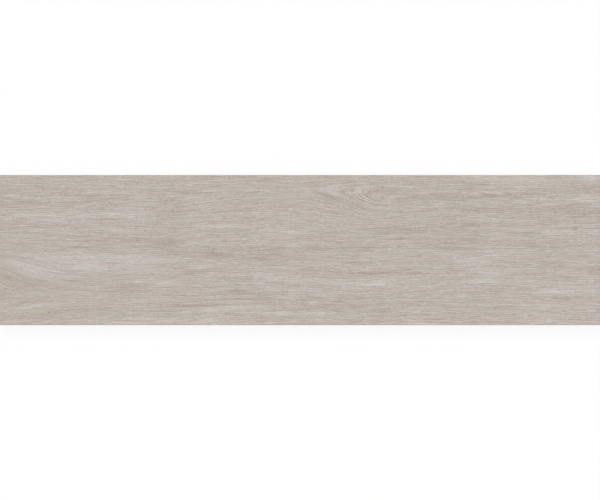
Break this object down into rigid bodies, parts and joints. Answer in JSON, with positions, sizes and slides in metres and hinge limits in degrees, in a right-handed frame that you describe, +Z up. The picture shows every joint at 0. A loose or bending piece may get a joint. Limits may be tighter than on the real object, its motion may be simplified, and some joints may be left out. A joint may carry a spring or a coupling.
{
  "type": "outdoor floor tile",
  "caption": "Long rectangular wood-effect porcelain paving tile with a finely bevelled flat face and a keyed back, laid as an outdoor floor.",
  "frame": {"origin": "middle of the bed face, on the plane of the ribs that the tile stands on", "axes": "+X along the plank and its printed grain, +Y across it, +Z up out of the walking face"},
  "size_m": [1.2, 0.3, 0.02],
  "materials": {
    "porcelain": "matte"
  },
  "bodies": {
    "root": {"tile": "porcelain"}
  },
  "joints": []
}
